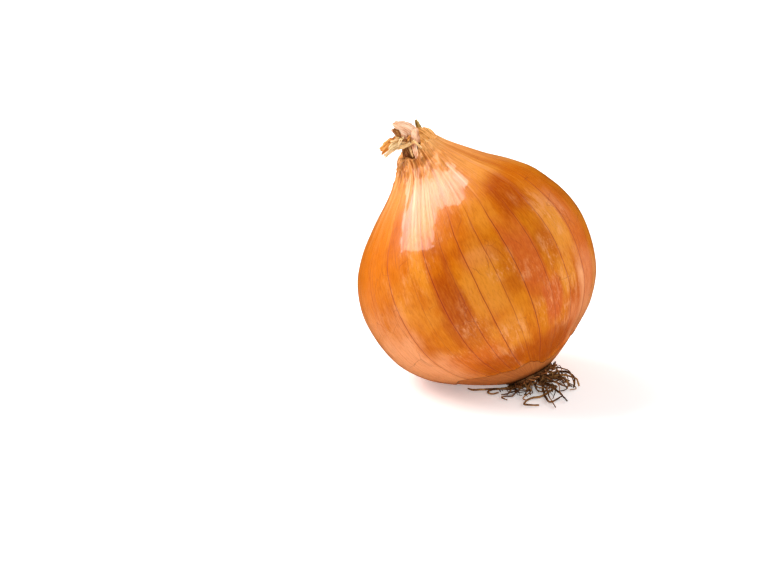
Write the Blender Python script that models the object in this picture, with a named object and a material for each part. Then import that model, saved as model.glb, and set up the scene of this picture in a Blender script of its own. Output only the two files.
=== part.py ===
"""A yellow onion as picked and dried: the bulb, the dry papery leaf ends on its neck and the tuft of
roots under its basal plate. It lies tilted, on a small flat spot of the bulb.

Local frame: origin at the middle of the basal plate, +Z along the axis to the neck. A longitude of 0
is the side that shows in front once the onion is placed, and longitudes grow towards +X.
Sizes are in metres.
"""

import math
import random

import bmesh
import bpy
from mathutils import Matrix, Vector

MM = 0.001
GAP = 0.3 * MM  # between neighbours that touch

# How the onion lies
LEAN = math.radians(29.7)  # axis, from upright
HEADING = math.radians(153.2)  # side that the neck leans to, from +X
SPIN = math.radians(-147.4)  # turn about its own axis
REST_DEPTH = 0.35 * MM  # what the flat spot takes off the bulb

# Bulb: (height above the basal plate, radius), widest 82 mm across
BULB_PROFILE = [
    (height * MM, radius * MM)
    for height, radius in (
        (0, 6.1), (2.4, 12.2), (7.8, 21.8), (14.6, 31.1), (24.8, 38.2), (40, 41.1),
        (52, 38.9), (62.2, 33), (69, 26.1), (75.8, 17.5), (82.6, 10.6), (87.5, 7),
    )
]
# How far the axis bends to +X at a height
BULB_BEND = [
    (height * MM, shift * MM)
    for height, shift in ((0, 0), (11, -1.1), (55, -1), (66, 0.3), (79, 1.2), (87.5, 0.4), (100, 0))
]
ROOT_END = 1 * MM  # where the bulb is cut off flat over the basal plate
NECK_END = BULB_PROFILE[-1][0]
BULB_COLUMNS = 84
BULB_ROWS = 34  # above the torn edge of the outer skin
BARE_ROWS = 3  # below it

# Folds that draw the skin together at the neck
FOLD_COUNT = 17
FOLD_DEPTH = 0.5 * MM
FOLD_START = 64 * MM

# Outer skin, torn off in a ragged line round the basal plate
SKIN_STEP = 0.45 * MM
TEAR_HEIGHT = 5 * MM
TEAR_TOP = math.radians(-62)  # longitude where the tear climbs highest
# Where it climbs further: (longitude in degrees, half width in degrees, height in millimetres)
TEAR_RISES = ((-55, 14, 1.3), (5, 16, 1.3), (68, 26, 4.6))

# Dry neck above the bulb: (height, radius)
DRY_CORE = [
    (height * MM, radius * MM)
    for height, radius in ((87.8, 6.3), (88.9, 5), (90.2, 4.4), (91.6, 4.3), (92.8, 3.2))
]
DRY_COLUMNS = 26
LEAF_THICKNESS = 0.7 * MM
# Upper edge of the leaf that wraps the right of the neck: (longitude in degrees, height)
WRAP_EDGE = ((12, 92.2), (24, 92.6), (45, 92), (78, 90.6), (100, 89.4), (122, 88.7))
WRAP_RADIUS = 6.2 * MM

# Basal plate: (height, radius), under the bulb
PLATE = [
    (height * MM, radius * MM)
    for height, radius in ((0.7, 8.1), (0.1, 7.8), (-0.7, 6.2), (-1.4, 4), (-1.8, 1.4))
]
PLATE_COLUMNS = 20

# Roots
ROOT_RADIUS = 0.42 * MM
ROOT_TIP_RADIUS = 0.3 * MM
ROOT_STEP = 2 * MM
ROOT_SIDES = 4
ROOT_ROOM = ROOT_RADIUS + GAP + 0.5 * MM  # from a root's middle line to the bulb
ROOT_SEED = 8
SHORT_ROOTS = 34
SHORT_REACH = (4 * MM, 9.5 * MM)
# Courses of the long roots from the rest spot, in millimetres: x, y, height
LONG_ROOTS = [
    ((19, -12, 2.2), (16, -13.5, 1.6), (12.8, -15.4, 0.6), (10.8, -16.4, 0.5), (10, -18.4, 0.5)),
    ((17.5, -12, 2.2), (17.4, -14, 1.4), (16.9, -16, 0.5)),
    ((19.4, -12.4, 2), (20, -14.2, 1.2), (20.6, -15.6, 0.5)),
    ((16.4, -12, 2.2), (12, -13.6, 1.6), (8.4, -13.6, 0.9), (5.4, -14, 0.6), (3.3, -16.4, 0.6),
     (4.6, -18, 0.5), (7.2, -16.8, 0.5)),
    ((15.6, -12.6, 2), (9, -13.4, 0.7), (3.6, -14, 0.5), (-1.4, -14.6, 0.5), (-3.4, -13, 0.5)),
    ((16.6, -11.6, 2), (11, -12.8, 1), (6, -12.6, 0.5), (1.6, -13, 0.5)),
    ((14, -12.4, 1.6), (9.4, -13, 0.8), (4.6, -13.2, 0.5), (2.4, -14.2, 0.5)),
    ((22, -12, 2.2), (22.2, -15.6, 1), (22.8, -21.6, 0.6), (24, -25.2, 0.5), (26.1, -23.6, 0.5),
     (28.4, -20.2, 0.6)),
    ((23, -10.6, 2), (26.8, -12.4, 1.2), (24.6, -16.4, 1.2), (21.3, -20.2, 0.6), (17.6, -22.2, 0.5),
     (15.2, -26.8, 0.5), (16.4, -27.8, 0.5), (20.4, -28.2, 0.5)),
    ((21.4, -11.6, 2.2), (23, -15, 1.5), (24.2, -21, 0.9), (25.6, -30, 0.5)),
    ((22.4, -10.8, 2.4), (24.8, -13.6, 1.8), (27.2, -17.6, 1.4), (30, -24.4, 0.6)),
    ((23.4, -9.6, 3), (27, -10, 4.4), (31, -10.4, 4.3), (33.6, -10.6, 3.2), (34.4, -11.2, 0.8)),
    ((23, -8.6, 3), (27.6, -7, 4.6), (31.6, -8, 4.2), (33.2, -10.2, 2.6), (32.4, -12.4, 0.6)),
    ((23.2, -8.4, 2.6), (27.6, -9.4, 3), (31, -10.6, 1.6), (33.4, -12.6, 0.6), (31.4, -13.6, 0.5)),
    ((22.4, -7.4, 2.6), (26, -6, 3), (30, -7.4, 1.8), (32, -11.4, 0.6)),
    ((22.6, -9.4, 2.4), (26.6, -10.8, 2), (30.4, -13.4, 0.8), (27.6, -15.4, 0.5)),
    ((21.6, -6.4, 2.4), (24.6, -3.6, 1.8), (28.6, -3, 0.8), (31.4, -6.2, 0.5)),
    ((22, -6.8, 2.2), (23.4, -2.4, 1), (26.6, 0.6, 0.5), (30, -0.6, 0.5)),
    ((20.4, -5.2, 2), (21.4, 0, 1), (20.6, 4.4, 0.5), (22.8, 6.2, 0.5)),
]

# Colour, roughness
SKIN_LOOK = ((0.62, 0.27, 0.06), 0.35)
DRY_LOOK = ((0.66, 0.42, 0.22), 0.8)
ROOT_LOOK = ((0.16, 0.09, 0.04), 0.9)


def curve_at(points, x):
    """The smooth curve through (x, y) points, read at x."""
    last = len(points) - 1
    k = min(max(sum(p[0] <= x for p in points) - 1, 0), last - 1)

    def slope(i):
        before, after = points[max(i - 1, 0)], points[min(i + 1, last)]
        return (after[1] - before[1]) / (after[0] - before[0])

    (x0, y0), (x1, y1) = points[k], points[k + 1]
    width = x1 - x0
    t = (x - x0) / width
    return (
        (1 + 2 * t) * (1 - t) ** 2 * y0
        + t * (1 - t) ** 2 * width * slope(k)
        + t * t * (3 - 2 * t) * y1
        + t * t * (t - 1) * width * slope(k + 1)
    )


def ease(low, high, x):
    """0 below low, 1 above high, smooth between."""
    t = min(max((x - low) / (high - low), 0), 1)
    return t * t * (3 - 2 * t)


def at(longitude, radius, height):
    """A point of the local frame, round the bent axis."""
    return Vector((
        radius * math.sin(longitude) + curve_at(BULB_BEND, max(height, 0)),
        -radius * math.cos(longitude),
        height,
    ))


def fold(longitude, height):
    """How far the folds at the neck move the skin in or out."""
    phase = FOLD_COUNT * longitude + 1.4 * math.sin(2 * longitude) + 0.8 * math.sin(3 * longitude + 1)
    crease = 1 - 2 * abs(math.sin(phase / 2)) ** 0.7
    uneven = 0.62 + 0.38 * math.cos(longitude + 1)
    return -FOLD_DEPTH * uneven * crease * ease(FOLD_START, NECK_END, height) ** 1.4


def tear(longitude):
    """Height of the outer skin's torn edge."""
    from_top = longitude - TEAR_TOP
    height = 2.6 * math.cos(from_top) + 1.8 * math.cos(2 * from_top)
    height += 0.28 * math.sin(7 * longitude + 0.6) + 0.22 * math.sin(13 * longitude)
    for middle, width, rise in TEAR_RISES:
        away = math.remainder(math.degrees(longitude) - middle, 360)
        height += rise * math.exp(-((away / width) ** 2))
    return TEAR_HEIGHT + height * MM


def bulb_point(longitude, height):
    """The bulb's surface: not quite round, folded at the neck, stepped at the tear."""
    radius = curve_at(BULB_PROFILE, height)
    radius *= 1 + 0.006 * math.cos(2 * longitude + 0.7) + 0.005 * math.cos(5 * longitude)
    radius += fold(longitude, height)
    if height < tear(longitude):
        radius -= SKIN_STEP * ease(0, 2 * MM, height)
    return at(longitude, radius, height)


def even_heights(count):
    """Heights from the origin to the neck's end, evenly spaced along the bulb's outline."""
    samples = [NECK_END * i / 400 for i in range(401)]
    outline = [Vector((curve_at(BULB_PROFILE, h), h)) for h in samples]
    along = [0]
    for a, b in zip(outline, outline[1:]):
        along.append(along[-1] + (b - a).length)
    heights, k = [], 0
    for i in range(count + 1):
        while k < 400 and along[k + 1] < along[-1] * i / count:
            k += 1
        heights.append(samples[k])
    heights[-1] = NECK_END
    return heights


def place():
    """Carries the local frame to where the onion lies, with the rest spot's middle at the origin."""
    turned = (
        Matrix.Rotation(HEADING, 4, "Z") @ Matrix.Rotation(LEAN, 4, "Y") @ Matrix.Rotation(SPIN, 4, "Z")
    )
    lowest = min(
        (
            turned @ bulb_point(math.radians(2 * i), j * MM / 4)
            for i in range(180)
            for j in range(20, 120)
        ),
        key=lambda point: point.z,
    )
    return Matrix.Translation((-lowest.x, -lowest.y, -lowest.z - REST_DEPTH)) @ turned


def ring(longitudes, point_of):
    return [point_of(longitude) for longitude in longitudes]


def round_longitudes(count):
    return [2 * math.pi * i / count for i in range(count)]


def loft(rings):
    """A closed mesh: the first ring extruded through the others, with both ends filled."""
    mesh = bmesh.new()
    verts = [mesh.verts.new(point) for point in rings[0]]
    edges = [mesh.edges.new((a, b)) for a, b in zip(verts, verts[1:] + verts[:1])]
    for points in rings[1:]:
        made = bmesh.ops.extrude_edge_only(mesh, edges=edges)["geom"]
        fresh = {item for item in made if isinstance(item, bmesh.types.BMVert)}
        verts = [
            next(edge.other_vert(v) for edge in v.link_edges if edge.other_vert(v) in fresh)
            for v in verts
        ]
        for v, point in zip(verts, points):
            v.co = point
        edges = [item for item in made if isinstance(item, bmesh.types.BMEdge)]
        edges = [edge for edge in edges if edge.verts[0] in fresh and edge.verts[1] in fresh]
    bmesh.ops.holes_fill(mesh, edges=mesh.edges, sides=0)
    bmesh.ops.recalc_face_normals(mesh, faces=mesh.faces)
    return mesh


def material(name, look):
    colour, roughness = look
    made = bpy.data.materials.new(name)
    made.use_nodes = True
    shader = made.node_tree.nodes["Principled BSDF"]
    shader.inputs["Base Color"].default_value = (*colour, 1)
    shader.inputs["Roughness"].default_value = roughness
    return made


def add_object(name, mesh, collection=None):
    """Makes an object of a bmesh, shaded smooth but for its sharp edges."""
    data = bpy.data.meshes.new(name)
    mesh.to_mesh(data)
    mesh.free()
    data.shade_smooth()
    data.set_sharp_from_angle(angle=math.radians(40))
    made = bpy.data.objects.new(name, data)
    (collection or bpy.context.scene.collection).objects.link(made)
    return made


def fill_pockets(data):
    """Removes the inner shells that fused pieces close in between them."""
    mesh = bmesh.new()
    mesh.from_mesh(data)
    outer = {max(mesh.verts, key=lambda v: v.co.z)}
    edge_of_search = list(outer)
    while edge_of_search:
        v = edge_of_search.pop()
        near = {edge.other_vert(v) for edge in v.link_edges} - outer
        outer |= near
        edge_of_search += near
    bmesh.ops.delete(mesh, geom=[v for v in mesh.verts if v not in outer], context="VERTS")
    mesh.to_mesh(data)
    mesh.free()


def join_all(base, collection):
    """Fuses a collection's objects to base with one Boolean union, and removes them."""
    union = base.modifiers.new("union", "BOOLEAN")
    union.operation = "UNION"
    union.operand_type = "COLLECTION"
    union.collection = collection
    union.solver = "MANIFOLD"
    graph = bpy.context.evaluated_depsgraph_get()
    joined = bpy.data.meshes.new_from_object(base.evaluated_get(graph))
    base.modifiers.clear()
    base.data = joined
    fill_pockets(base.data)
    for piece in list(collection.objects):
        bpy.data.objects.remove(piece)
    bpy.data.collections.remove(collection)


def repeats(name):
    made = bpy.data.collections.new(name)
    bpy.context.scene.collection.children.link(made)
    return made


def build_bulb(placed):
    """Rows follow the tear, so that its step is one clean ledge all round."""
    longitudes = round_longitudes(BULB_COLUMNS)
    half_ledge = 0.12 * MM
    rings = []
    for i in range(BARE_ROWS + 1):
        share = i / BARE_ROWS

        def below(a):
            return bulb_point(a, ROOT_END + (tear(a) - half_ledge - ROOT_END) * share)

        rings.append(ring(longitudes, below))
    for height in even_heights(BULB_ROWS)[:-1]:
        share = height / NECK_END

        def above(a):
            start = tear(a) + half_ledge
            return bulb_point(a, start + (NECK_END - start) * share)

        rings.append(ring(longitudes, above))
    rings.append(ring(longitudes, lambda a: bulb_point(a, NECK_END)))
    mesh = loft([[placed @ point for point in points] for points in rings])
    bmesh.ops.bisect_plane(
        mesh,
        geom=mesh.verts[:] + mesh.edges[:] + mesh.faces[:],
        plane_co=(0, 0, 0),
        plane_no=(0, 0, 1),
        clear_inner=True,
    )
    bmesh.ops.holes_fill(mesh, edges=mesh.edges, sides=0)
    bulb = add_object("bulb", mesh)
    bulb.data.materials.append(material("onion skin", SKIN_LOOK))


def blade(base, bend, tip, widths, side, cup=0.0, tip_side=None, slope=0.0):
    """A dry leaf end: a sheet along a curve from base to tip, as wide as widths says at the base, the
    middle and the tip, and hollowed by cup. side is the way its width runs, tip_side the same at the
    tip, and slope slants the torn end. Lengths are in millimetres, in the local frame."""
    base, bend, tip = Vector(base) * MM, Vector(bend) * MM, Vector(tip) * MM
    side = Vector(side).normalized()
    tip_side = Vector(tip_side).normalized() if tip_side else side
    along_count, across_count = 5, 4
    mesh = bmesh.new()
    grid = bmesh.ops.create_grid(mesh, x_segments=along_count, y_segments=across_count, size=1)
    for vert in grid["verts"]:
        t, u = (vert.co.x + 1) / 2, vert.co.y
        reach = t * (1 + slope * u * t)
        middle = (1 - reach) ** 2 * base + 2 * reach * (1 - reach) * bend + reach**2 * tip
        along = ((1 - t) * (bend - base) + t * (tip - bend)).normalized()
        across = side.lerp(tip_side, t).normalized()
        width = (
            (1 - t) * (1 - 2 * t) * widths[0] + 4 * t * (1 - t) * widths[1] + t * (2 * t - 1) * widths[2]
        ) * MM
        out = along.cross(across).normalized()
        vert.co = middle + across * (u * width / 2) + out * (cup * width * (u * u - 0.5))
    made = add_object("leaf end", mesh, bpy.data.collections["leaf ends"])
    shell = made.modifiers.new("thickness", "SOLIDIFY")
    shell.thickness = LEAF_THICKNESS
    shell.offset = 0


def wrap():
    """The leaf end that wraps the right of the neck, as a curved sheet up to its slanted edge."""
    columns, rows = 12, 4
    mesh = bmesh.new()
    grid = bmesh.ops.create_grid(mesh, x_segments=columns, y_segments=rows, size=1)
    first, last = WRAP_EDGE[0][0], WRAP_EDGE[-1][0]
    for vert in grid["verts"]:
        degrees = first + (last - first) * (vert.co.x + 1) / 2
        share = (vert.co.y + 1) / 2
        low = DRY_CORE[0][0] + LEAF_THICKNESS / 2
        height = low + (curve_at(WRAP_EDGE, degrees) * MM - low) * share
        vert.co = at(math.radians(degrees), WRAP_RADIUS + (0.5 * share - 1.1 * share**3) * MM, height)
    made = add_object("leaf end", mesh, bpy.data.collections["leaf ends"])
    shell = made.modifiers.new("thickness", "SOLIDIFY")
    shell.thickness = LEAF_THICKNESS
    shell.offset = 0


def build_dry_neck(placed):
    """The dried tops of the leaves: a pinched core, with the leaf ends that stand out of it."""
    longitudes = round_longitudes(DRY_COLUMNS)

    def core_point(longitude, height, radius):
        crease = 0.35 * MM * math.sin(FOLD_COUNT * longitude / 2 - 0.5) ** 2
        return at(longitude, radius - crease, height)

    core = loft([ring(longitudes, lambda a: core_point(a, h, r)) for h, r in DRY_CORE])
    dry_neck = add_object("dry_neck", core)
    leaf_ends = repeats("leaf ends")
    right = (1, 0, 0)
    wrap()
    # Broad leaf end that rises to the left
    tip_side = (0.67, 0, 0.74)
    blade((0, -3, 90.4), (-0.4, -5, 93), (-4.4, -4.4, 97), (6, 6.4, 3.8), (1, 0, 0.1), 0.14, tip_side)
    # Small pointed end beside it
    blade((3, -2.2, 90.6), (3.1, -2.6, 93), (3.2, -2.8, 94.9), (1.9, 1.5, 0.8), right)
    # Two stiff strips that stick out to the left
    blade((-2.4, -1.6, 90.8), (-7.2, -3.2, 92.6), (-11.8, -4, 91), (3, 3, 2.6), (0.1, 0.3, 1), 0.08)
    blade((-2, -3.2, 89.4), (-6.4, -5, 90.4), (-11.3, -4.7, 88), (2, 2.2, 1.9), (0.1, -0.4, 1), 0.08)
    # Strip that crosses the front of the neck
    blade((-4.4, -2.6, 89.4), (-0.4, -7.4, 90.8), (2.4, -5.6, 88.9), (1.3, 1.3, 1), (0, 0.2, 1))
    # Leaf ends on the far side
    blade((-2.6, 2.2, 88.8), (-3.6, 3.8, 91.6), (-4.6, 5, 93), (5, 5, 3.6), (0.7, 0.7, 0), 0.12)
    blade((1.6, 2.6, 88.8), (2.4, 5.2, 91.2), (2.8, 6.6, 90.4), (5.4, 5.6, 4), right, 0.12)
    blade((-0.4, 1.6, 89.6), (-0.6, 2.6, 92.4), (0.2, 3.2, 94.6), (3.6, 4.2, 2.8), right, -0.1)
    join_all(dry_neck, leaf_ends)
    dry_neck.data.transform(placed)
    dry_neck.data.materials.append(material("dry leaf ends", DRY_LOOK))


def off_bulb(point, placed):
    """A point's distance from the bulb, and the nearest spot that leaves room for a root."""
    local = placed.inverted() @ point
    bend = curve_at(BULB_BEND, max(local.z, 0))
    local.x -= bend
    spot = Vector((math.hypot(local.x, local.y), local.z))
    near = min(OUTLINE, key=lambda corner: (corner - spot).length_squared)
    inside = ROOT_END < spot.y < NECK_END and spot.x < curve_at(BULB_PROFILE, spot.y)
    off = near - spot if inside else spot - near
    moved = near + off.normalized() * ROOT_ROOM
    around = Vector((local.x, local.y)).normalized() * moved.x
    distance = -off.length if inside else off.length
    return distance, placed @ Vector((around.x + bend, around.y, moved.y))


def root_path(guide, placed, height):
    """A smooth course through the guide, kept off the bulb and no lower than height. It ends where
    the bulb leaves it no room."""
    axes = [[(i, point[axis]) for i, point in enumerate(guide)] for axis in range(3)]
    length = sum((b - a).length for a, b in zip(guide, guide[1:]))
    count = max(3, round(length / ROOT_STEP))
    points = [guide[0]]
    for i in range(1, count + 1):
        share = (len(guide) - 1) * i / count
        point = Vector([curve_at(axis, share) for axis in axes])
        for _ in range(3):
            distance, moved = off_bulb(point, placed)
            if distance < ROOT_ROOM:
                point = moved
            point.z = max(point.z, height)
        if off_bulb(point, placed)[0] < ROOT_ROOM - 0.15 * MM:
            break
        if (point - points[-1]).length > ROOT_STEP / 3:
            points.append(point)
    return points


def plate_spot(longitude, reach):
    """A spot inside the basal plate, a little under its surface."""
    under = [(radius, height) for height, radius in reversed(PLATE)]
    return at(longitude, reach, curve_at(under, max(reach, under[0][0])) + 0.5 * MM)


def short_guide(draw, index, placed):
    """Guide of a short root: out of the basal plate and off to a random side. Those that start on the
    right also turn forwards."""
    longitude = 2.4 * index
    reach = PLATE[1][1] * 0.9 * math.sqrt((index + 0.5) / SHORT_ROOTS)
    start = placed @ plate_spot(longitude, reach)
    off = placed @ (plate_spot(longitude, reach) + at(longitude, 1.2 * MM, -1.4 * MM))
    middle = placed @ at(0, 0, -1.1 * MM)
    way = Vector((start.x - middle.x, start.y - middle.y, 0)).normalized()
    forwards = draw.uniform(0.2, 1) * (0.15 if way.x < -0.3 else 1)
    way = (way + Vector((0.7, -0.35, 0)) * forwards).normalized()
    way = Matrix.Rotation(draw.uniform(-0.6, 0.6), 3, "Z") @ way
    aside = Vector((-way.y, way.x, 0)) * draw.uniform(-2.5, 2.5) * MM
    length = draw.uniform(*SHORT_REACH)
    return [
        start,
        off,
        off + way * length * 0.4 + aside + Vector((0, 0, draw.uniform(-2, 1.5) * MM)),
        off + way * length * 0.8 - aside * 0.6 + Vector((0, 0, draw.uniform(-4, 0.5) * MM)),
        off + way * length + aside * 0.5 + Vector((0, 0, draw.uniform(-5, 0) * MM)),
    ]


def tube(points):
    """A root: a thin tube that tapers to its tip."""
    rings = []
    last = len(points) - 1
    across = Vector((0, 0, 1))
    for i, point in enumerate(points):
        along = (points[min(i + 1, last)] - points[max(i - 1, 0)]).normalized()
        sideways = along.cross(across)
        if sideways.length < 0.2:
            sideways = along.cross(Vector((1, 0, 0)))
        sideways.normalize()
        upward = sideways.cross(along)
        radius = ROOT_RADIUS + (ROOT_TIP_RADIUS - ROOT_RADIUS) * i / last
        turns = [2 * math.pi * (k + 0.5) / ROOT_SIDES for k in range(ROOT_SIDES)]
        size = radius * math.sqrt(2)
        rings.append([point + (sideways * math.cos(a) + upward * math.sin(a)) * size for a in turns])
    return loft(rings)


def root_seat(point, placed):
    """The spot of the basal plate where a long root starts: the one nearest to its course."""
    local = placed.inverted() @ point
    reach = min(math.hypot(local.x, local.y), 0.9 * PLATE[1][1])
    return placed @ plate_spot(math.atan2(local.x, -local.y), reach)


def build_roots(placed):
    """The basal plate with the roots that grow out of it."""
    longitudes = round_longitudes(PLATE_COLUMNS)
    plate = loft([ring(longitudes, lambda a: placed @ at(a, r, h)) for h, r in PLATE])
    roots = add_object("roots", plate)
    strands = repeats("strands")
    draw = random.Random(ROOT_SEED)
    guides = [[Vector(point) * MM for point in course] for course in LONG_ROOTS]
    for guide in guides:
        guide.insert(0, root_seat(guide[0], placed))
    guides += [short_guide(draw, index, placed) for index in range(SHORT_ROOTS)]
    for guide in guides:
        lowest = ROOT_RADIUS + draw.uniform(0, 0.2) * MM
        path = root_path(guide, placed, lowest)
        if len(path) > 2:
            add_object("root", tube(path), strands)
    join_all(roots, strands)
    roots.data.materials.append(material("dried roots", ROOT_LOOK))


# The bulb's outline from the middle of its lower end, as (radius, height)
OUTLINE = [Vector((curve_at(BULB_PROFILE, ROOT_END) * i / 16, ROOT_END)) for i in range(16)]
OUTLINE += [
    Vector((curve_at(BULB_PROFILE, height), height))
    for height in (ROOT_END + 0.3 * MM * i for i in range(120))
]

for old in list(bpy.data.objects):
    bpy.data.objects.remove(old)
placement = place()
build_bulb(placement)
build_dry_neck(placement)
build_roots(placement)
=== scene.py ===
import math
import random

import bpy
from mathutils import Matrix, Vector, noise


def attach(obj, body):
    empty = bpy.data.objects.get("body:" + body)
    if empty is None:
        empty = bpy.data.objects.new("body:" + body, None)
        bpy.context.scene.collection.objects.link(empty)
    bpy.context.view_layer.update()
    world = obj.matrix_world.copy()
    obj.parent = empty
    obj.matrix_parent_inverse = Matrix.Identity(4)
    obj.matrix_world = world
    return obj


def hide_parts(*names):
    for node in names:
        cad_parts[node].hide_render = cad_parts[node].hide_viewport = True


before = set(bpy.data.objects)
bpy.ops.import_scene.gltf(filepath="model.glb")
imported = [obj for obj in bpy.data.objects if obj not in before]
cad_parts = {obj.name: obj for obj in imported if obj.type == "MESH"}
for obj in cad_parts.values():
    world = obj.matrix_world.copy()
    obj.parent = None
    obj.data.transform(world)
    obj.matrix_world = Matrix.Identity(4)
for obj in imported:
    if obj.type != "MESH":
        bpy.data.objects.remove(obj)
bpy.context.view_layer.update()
noise.seed_set(3)  # noise_vector is drawn anew in each run without it
mm = 0.001

# The onion's own frame has its origin under the root end and +Z along the axis to the neck.
# Longitude 0 is the side that faces the camera, and longitudes grow to the right.
onionForm = {
    "lean": 29.7,  # degrees from upright
    "heading": 153.2,  # degrees from +X, the side that the neck leans to
    "spin": -147.4,
    "restDepth": 0.35,  # what the flat spot takes off, in mm
    "profile": [  # height and radius in mm
        (0, 6.1), (2.4, 12.2), (7.8, 21.8), (14.6, 31.1), (24.8, 38.2), (40, 41.1),
        (52, 38.9), (62.2, 33), (69, 26.1), (75.8, 17.5), (82.6, 10.6), (87.5, 7),
    ],
    "bend": [(0, 0), (11, -1.1), (55, -1), (66, 0.3), (79, 1.2), (87.5, 0.4), (100, 0)],
    "rootEnd": 1,  # where the bulb is cut off flat over the basal plate
    "neckEnd": 87.5,
    "folds": 17,
    "foldDepth": 0.5,
    "foldStart": 64,
    "tearHeight": 5,  # of the outer skin's torn edge
    "tearTop": -62,  # longitude where the tear climbs highest
    "tearRises": ((-55, 14, 1.3), (5, 16, 1.3), (68, 26, 4.6)),  # longitude, half width, height
    "skinStep": 0.45,
}


def curveAt(points, x):
    last = len(points) - 1
    k = min(max(sum(p[0] <= x for p in points) - 1, 0), last - 1)

    def slope(i):
        before, after = points[max(i - 1, 0)], points[min(i + 1, last)]
        return (after[1] - before[1]) / (after[0] - before[0])

    (x0, y0), (x1, y1) = points[k], points[k + 1]
    width = x1 - x0
    t = (x - x0) / width
    return (
        (1 + 2 * t) * (1 - t) ** 2 * y0
        + t * (1 - t) ** 2 * width * slope(k)
        + t * t * (3 - 2 * t) * y1
        + t * t * (t - 1) * width * slope(k + 1)
    )


def ease(low, high, x):
    t = min(max((x - low) / (high - low), 0), 1)
    return t * t * (3 - 2 * t)


def noiseAt(x, y, z):
    return noise.noise(Vector((x, y, z)))


def onionPoint(longitude, radius, height):  # all in mm, round the bent axis
    return Vector((
        radius * math.sin(longitude) + curveAt(onionForm["bend"], max(height, 0)),
        -radius * math.cos(longitude),
        height,
    ))


def foldAt(longitude, height):
    form = onionForm
    phase = form["folds"] * longitude + 1.4 * math.sin(2 * longitude)
    phase += 0.8 * math.sin(3 * longitude + 1)
    crease = 1 - 2 * abs(math.sin(phase / 2)) ** 0.7
    uneven = 0.62 + 0.38 * math.cos(longitude + 1)
    deepening = ease(form["foldStart"], form["neckEnd"], height) ** 1.4
    return -form["foldDepth"] * uneven * crease * deepening


def tearAt(longitude):
    fromTop = longitude - math.radians(onionForm["tearTop"])
    height = 2.6 * math.cos(fromTop) + 1.8 * math.cos(2 * fromTop)
    height += 0.28 * math.sin(7 * longitude + 0.6) + 0.22 * math.sin(13 * longitude)
    for middle, width, rise in onionForm["tearRises"]:
        away = math.remainder(math.degrees(longitude) - middle, 360)
        height += rise * math.exp(-((away / width) ** 2))
    return onionForm["tearHeight"] + height


def roundRadius(longitude, height):  # of the outer skin
    radius = curveAt(onionForm["profile"], height)
    radius *= 1 + 0.006 * math.cos(2 * longitude + 0.7) + 0.005 * math.cos(5 * longitude)
    return radius + foldAt(longitude, height)


def lyingPlace():
    form = onionForm
    turned = (
        Matrix.Rotation(math.radians(form["heading"]), 4, "Z")
        @ Matrix.Rotation(math.radians(form["lean"]), 4, "Y")
        @ Matrix.Rotation(math.radians(form["spin"]), 4, "Z")
    )

    def skin(longitude, height):
        radius = roundRadius(longitude, height)
        if height < tearAt(longitude):
            radius -= form["skinStep"] * ease(0, 2, height)
        return onionPoint(longitude, radius, height)

    lowest = min(
        (turned @ skin(math.radians(2 * i), j / 4) for i in range(180) for j in range(20, 120)),
        key=lambda point: point.z,
    )
    place = Matrix.Translation((-lowest.x, -lowest.y, -lowest.z - form["restDepth"])) @ turned
    return Matrix.Diagonal((mm, mm, mm, 1)) @ place


lying = lyingPlace()  # from the onion's frame in mm to where it lies, in metres
print("onion placed")


# Shader helpers
def operator(operation, swapped=False):
    def work(self, other):
        return self.maths(operation, *((other, self) if swapped else (self, other)))

    return work


class Wire:  # an output socket that sums can be written with
    def __init__(self, finish, socket):
        self.finish = finish
        self.socket = socket

    def maths(self, operation, *values):
        node = self.finish.add("ShaderNodeMath", {"operation": operation}, dict(enumerate(values)))
        return Wire(self.finish, node.outputs[0])

    __add__, __radd__ = operator("ADD"), operator("ADD", True)
    __sub__, __rsub__ = operator("SUBTRACT"), operator("SUBTRACT", True)
    __mul__, __truediv__ = operator("MULTIPLY"), operator("DIVIDE")

    def __abs__(self):
        return self.maths("ABSOLUTE", self)

    def fraction(self):
        return self.maths("FRACT", self)

    def floor(self):
        return self.maths("FLOOR", self)

    def rise(self, low, high):  # 0 below low, 1 above high, smooth between
        sockets = {"Value": self, "From Min": low, "From Max": high}
        node = self.finish.add("ShaderNodeMapRange", {"interpolation_type": "SMOOTHSTEP"}, sockets)
        return Wire(self.finish, node.outputs[0])


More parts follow.
